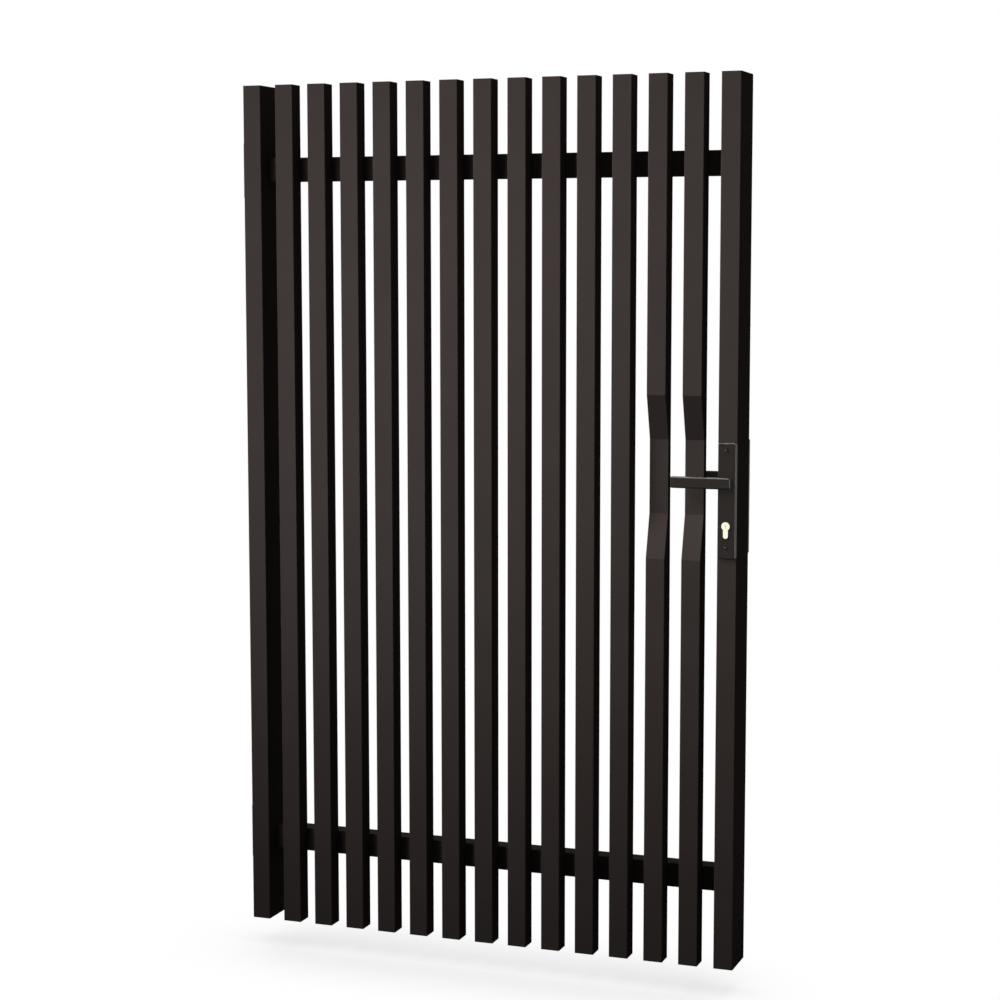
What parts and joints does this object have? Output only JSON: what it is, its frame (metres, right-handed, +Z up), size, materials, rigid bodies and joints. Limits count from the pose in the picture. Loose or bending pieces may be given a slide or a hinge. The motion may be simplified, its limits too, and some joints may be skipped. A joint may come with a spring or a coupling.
{
  "type": "pedestrian gate",
  "caption": "Pedestrian gate leaf of upright square tubes between two deep stiles, with a lever lock, a hand recess and bolted pin hinges; it swings inward.",
  "frame": {"origin": "centre of the lower hinge bracket's mounting face, on the face of the post", "axes": "+X from the hinge post to the lock side, +Y from the street side to the garden side, +Z up"},
  "size_m": [1.115, 0.15, 1.8],
  "materials": {
    "gate_coating": "fine matt powder coat, dark warm grey",
    "handle_coating": "satin powder coat, dark warm grey",
    "cylinder_brass": "pale polished brass",
    "bright_steel": "turned steel"
  },
  "bodies": {
    "hinge brackets": {"hinge_bracket_lower": "gate_coating", "hinge_pin_lower": "bright_steel", "hinge_bracket_upper": "gate_coating", "hinge_pin_upper": "bright_steel"},
    "leaf": {"hinge_stile": "gate_coating", "lock_stile": "gate_coating", "bottom_rail": "gate_coating", "top_rail": "gate_coating", "slat_01": "gate_coating", "slat_02": "gate_coating", "slat_03": "gate_coating", "slat_04": "gate_coating", "slat_05": "gate_coating", "slat_06": "gate_coating", "slat_07": "gate_coating", "slat_08": "gate_coating", "slat_09": "gate_coating", "slat_10": "gate_coating", "slat_11": "gate_coating", "slat_12": "gate_coating", "slat_13": "gate_coating", "stile_end_caps": "gate_coating", "slat_bottom_caps": "gate_coating", "slat_top_caps": "gate_coating", "lock_plate_front": "handle_coating", "lock_plate_rear": "handle_coating", "lock_cylinder": "cylinder_brass", "hinge_knuckle_lower": "gate_coating", "hinge_knuckle_upper": "gate_coating"},
    "levers": {"lever_front": "handle_coating", "lever_rear": "handle_coating", "lever_spindle": "bright_steel"}
  },
  "joints": [
    {"name": "gate_swing", "type": "hinge", "parent": "hinge brackets", "child": "leaf", "pos_m": [0.02, 0, 0], "axis": [0, 0, 1], "range_deg": [0, 90]},
    {"name": "lever_turn", "type": "hinge", "parent": "leaf", "child": "levers", "pos_m": [1.095, -0.04, 0.819], "axis": [0, -1, 0], "range_deg": [0, 40], "stiffness_Nm_per_rad": 1, "springref_deg": -34.38}
  ]
}
